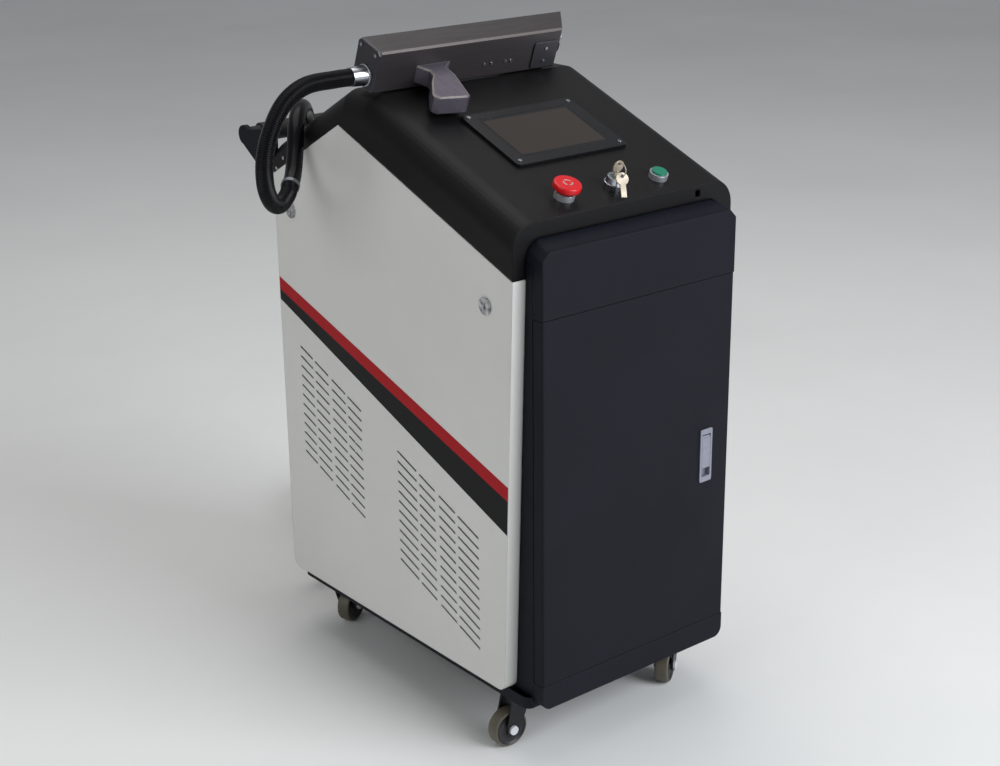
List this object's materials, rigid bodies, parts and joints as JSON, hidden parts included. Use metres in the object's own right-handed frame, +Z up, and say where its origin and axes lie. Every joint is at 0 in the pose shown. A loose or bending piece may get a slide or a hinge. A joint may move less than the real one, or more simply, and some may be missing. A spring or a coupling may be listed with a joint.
{
  "type": "laser cleaning machine",
  "caption": "Mobile laser cleaning machine on casters: white side panels with vents, sloping console with display, and a handheld cleaning gun on a coiled hose",
  "frame": {"origin": "on the floor under the middle of the machine, the free hose left out", "axes": "+X to the right seen from the door, +Y from the door to the rear, +Z up"},
  "size_m": [0.7358, 1.0525, 1.0029],
  "materials": {
    "black_powder": "fine-textured charcoal black powder coat",
    "white_powder": "satin warm white powder coat",
    "grey_paint": "plain grey primer",
    "stripe_film": "red and black vinyl film",
    "black_plastic": "moulded, fine grain",
    "screen_glass": "dark glossy screen",
    "chrome_metal": "bright plated",
    "nickel": "satin nickel plate",
    "bare_aluminium": "bead blasted",
    "bare_steel": "zinc plated steel",
    "tank_plastic": "translucent moulded plastic",
    "gun_anodised": "dark anodised with bright chamfers",
    "red_plastic": "glossy signal red",
    "green_plastic": "glossy green",
    "black_rubber": "matte black",
    "wheel_rubber": "brown grey polyurethane",
    "hose_black": "black corrugated sleeve and smooth jacket"
  },
  "bodies": {
    "cabinet": {"base_tray": "black_powder", "inner_frame": "grey_paint", "front_frame": "black_powder", "front_fascia": "black_powder", "front_skirt": "black_powder", "left_side_panel": "white_powder", "right_side_panel": "white_powder", "side_stripes": "stripe_film", "top_cover": "black_powder", "rear_panel": "black_powder", "hmi_bezel": "black_plastic", "hmi_glass": "screen_glass", "estop_collar": "chrome_metal", "key_barrel": "chrome_metal", "start_bezel": "chrome_metal", "panel_screws": "chrome_metal", "lock_housings": "chrome_metal", "fan_housing": "black_plastic", "handle_arms": "black_powder", "handle_bar": "black_rubber", "rear_gland": "nickel", "rear_inlets": "nickel", "laser_source": "bare_aluminium", "water_tank": "tank_plastic", "power_supply": "bare_steel", "gun_rest": "black_rubber", "gun_body": "gun_anodised", "gun_plates": "gun_anodised", "gun_grip": "gun_anodised", "gun_window": "chrome_metal", "gun_gland": "chrome_metal", "caster_plates": "bare_steel", "hose_sleeve": "hose_black", "hose_ring": "bare_aluminium", "hose_free": "hose_black", "hose_coil": "hose_black", "hose_tail": "hose_black", "coil_tie": "black_rubber"},
    "door": {"door_panel": "black_powder", "door_pins": "bare_steel", "latch_plate": "chrome_metal"},
    "latch": {"latch_paddle": "chrome_metal"},
    "stop_head": {"estop_head": "red_plastic"},
    "start_push": {"start_button": "green_plastic"},
    "key": {"key_rotor": "nickel", "key_set": "nickel"},
    "cam_left_front": {"lock_left_front": "chrome_metal"},
    "cam_left_rear": {"lock_left_rear": "chrome_metal"},
    "cam_right_front": {"lock_right_front": "chrome_metal"},
    "cam_right_rear": {"lock_right_rear": "chrome_metal"},
    "fan": {"fan_rotor": "black_plastic"},
    "trigger": {"gun_trigger": "black_plastic"},
    "fork_fl": {"caster_fork_fl": "bare_steel"},
    "fork_fr": {"caster_fork_fr": "bare_steel"},
    "fork_rl": {"caster_fork_rl": "bare_steel"},
    "fork_rr": {"caster_fork_rr": "bare_steel"},
    "wheel_fl": {"caster_wheel_fl": "wheel_rubber"},
    "wheel_fr": {"caster_wheel_fr": "wheel_rubber"},
    "wheel_rl": {"caster_wheel_rl": "wheel_rubber"},
    "wheel_rr": {"caster_wheel_rr": "wheel_rubber"}
  },
  "joints": [
    {"name": "door_hinge", "type": "hinge", "parent": "cabinet", "child": "door", "pos_m": [-0.176, -0.343, 0.402], "axis": [0, 0, -1], "range_deg": [0, 105]},
    {"name": "latch_hinge", "type": "hinge", "parent": "door", "child": "latch", "pos_m": [0.133, -0.3545, 0.4322], "axis": [-1, 0, 0], "range_deg": [0, 35], "stiffness_Nm_per_rad": 0.01},
    {"name": "stop_slide", "type": "slide", "parent": "cabinet", "child": "stop_head", "axis": [0, 0.3502, -0.9367], "range_m": [0, 0.004], "stiffness_N_per_m": 300},
    {"name": "start_slide", "type": "slide", "parent": "cabinet", "child": "start_push", "axis": [0, 0.3502, -0.9367], "range_m": [0, 0.0025], "stiffness_N_per_m": 200},
    {"name": "key_turn", "type": "hinge", "parent": "cabinet", "child": "key", "pos_m": [0.002, -0.29, 0.81484], "axis": [0, 0.3502, -0.9367], "range_deg": [0, 90]},
    {"name": "cam_left_front_turn", "type": "hinge", "parent": "cabinet", "child": "cam_left_front", "pos_m": [-0.203, -0.2655, 0.681], "axis": [1, 0, 0], "range_deg": [0, 90]},
    {"name": "cam_left_rear_turn", "type": "hinge", "parent": "cabinet", "child": "cam_left_rear", "pos_m": [-0.203, 0.21, 0.72099], "axis": [1, 0, 0], "range_deg": [0, 90]},
    {"name": "cam_right_front_turn", "type": "hinge", "parent": "cabinet", "child": "cam_right_front", "pos_m": [0.203, -0.2655, 0.681], "axis": [1, 0, 0], "range_deg": [0, 90]},
    {"name": "cam_right_rear_turn", "type": "hinge", "parent": "cabinet", "child": "cam_right_rear", "pos_m": [0.203, 0.21, 0.72099], "axis": [1, 0, 0], "range_deg": [0, 90]},
    {"name": "fan_spin", "type": "hinge", "parent": "cabinet", "child": "fan", "pos_m": [0, 0.22575, 0.56], "axis": [0, 1, 0], "continuous": true},
    {"name": "trigger_slide", "type": "slide", "parent": "cabinet", "child": "trigger", "axis": [-1, 0, 0], "range_m": [0, 0.003], "stiffness_N_per_m": 100},
    {"name": "swivel_fl", "type": "hinge", "parent": "cabinet", "child": "fork_fl", "pos_m": [-0.152, -0.272, 0.077], "axis": [0, 0, 1], "continuous": true},
    {"name": "roll_fl", "type": "hinge", "parent": "fork_fl", "child": "wheel_fl", "pos_m": [-0.17698, -0.27113, 0.029], "axis": [-0.0349, -0.9994, 0], "continuous": true},
    {"name": "swivel_fr", "type": "hinge", "parent": "cabinet", "child": "fork_fr", "pos_m": [0.152, -0.272, 0.077], "axis": [0, 0, 1], "continuous": true},
    {"name": "roll_fr", "type": "hinge", "parent": "fork_fr", "child": "wheel_fr", "pos_m": [0.13103, -0.28562, 0.029], "axis": [0.5446, -0.8387, 0], "continuous": true},
    {"name": "swivel_rl", "type": "hinge", "parent": "cabinet", "child": "fork_rl", "pos_m": [-0.152, 0.192, 0.077], "axis": [0, 0, 1], "continuous": true},
    {"name": "roll_rl", "type": "hinge", "parent": "fork_rl", "child": "wheel_rl", "pos_m": [-0.12934, 0.20257, 0.029], "axis": [-0.4226, 0.9063, 0], "continuous": true},
    {"name": "swivel_rr", "type": "hinge", "parent": "cabinet", "child": "fork_rr", "pos_m": [0.152, 0.192, 0.077], "axis": [0, 0, 1], "continuous": true},
    {"name": "roll_rr", "type": "hinge", "parent": "fork_rr", "child": "wheel_rr", "pos_m": [0.12851, 0.20055, 0.029], "axis": [-0.342, -0.9397, 0], "continuous": true}
  ]
}
